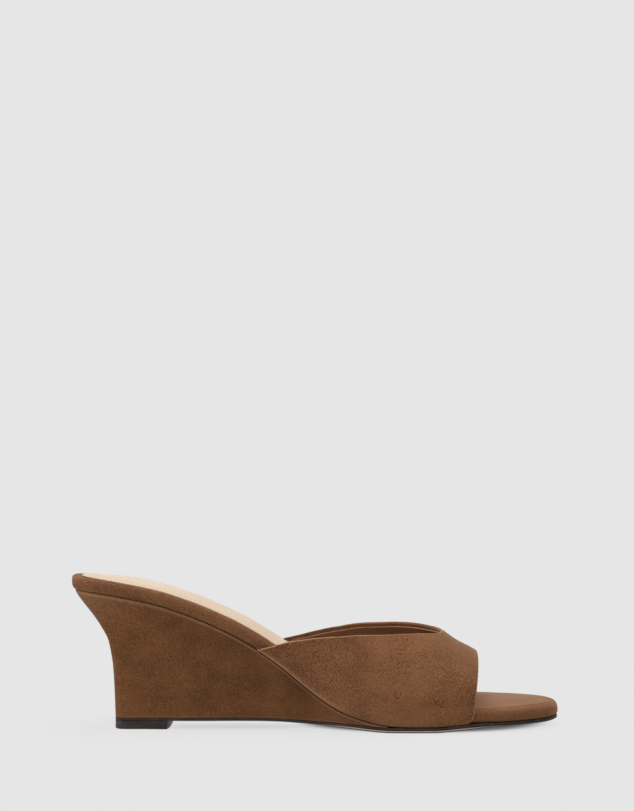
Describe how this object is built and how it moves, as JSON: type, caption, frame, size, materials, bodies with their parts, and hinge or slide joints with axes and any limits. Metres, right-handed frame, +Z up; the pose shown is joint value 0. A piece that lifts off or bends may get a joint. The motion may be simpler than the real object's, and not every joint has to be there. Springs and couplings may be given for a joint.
{
  "type": "wedge mule",
  "caption": "Open-toed slip-on wedge shoe with a wide hollow band upper, wrapped footbed, lined seat, flared covered wedge, thin outsole and heel tap.",
  "frame": {"origin": "on the floor under the middle of the shoe's box", "axes": "+X from heel to toe, +Y towards the inner side of the foot, +Z up"},
  "size_m": [0.2364, 0.081, 0.0735],
  "materials": {
    "suede": "brown suede with a fine matte nap",
    "sock_leather": "smooth beige lining leather",
    "sole": "dark brown satin sole",
    "tap": "dark matte heel tap"
  },
  "bodies": {
    "root": {"heel_tap": "tap", "outsole": "sole", "wedge": "suede", "footbed": "suede", "heel_sock": "sock_leather", "toe_sock": "suede", "upper": "suede"}
  },
  "joints": []
}
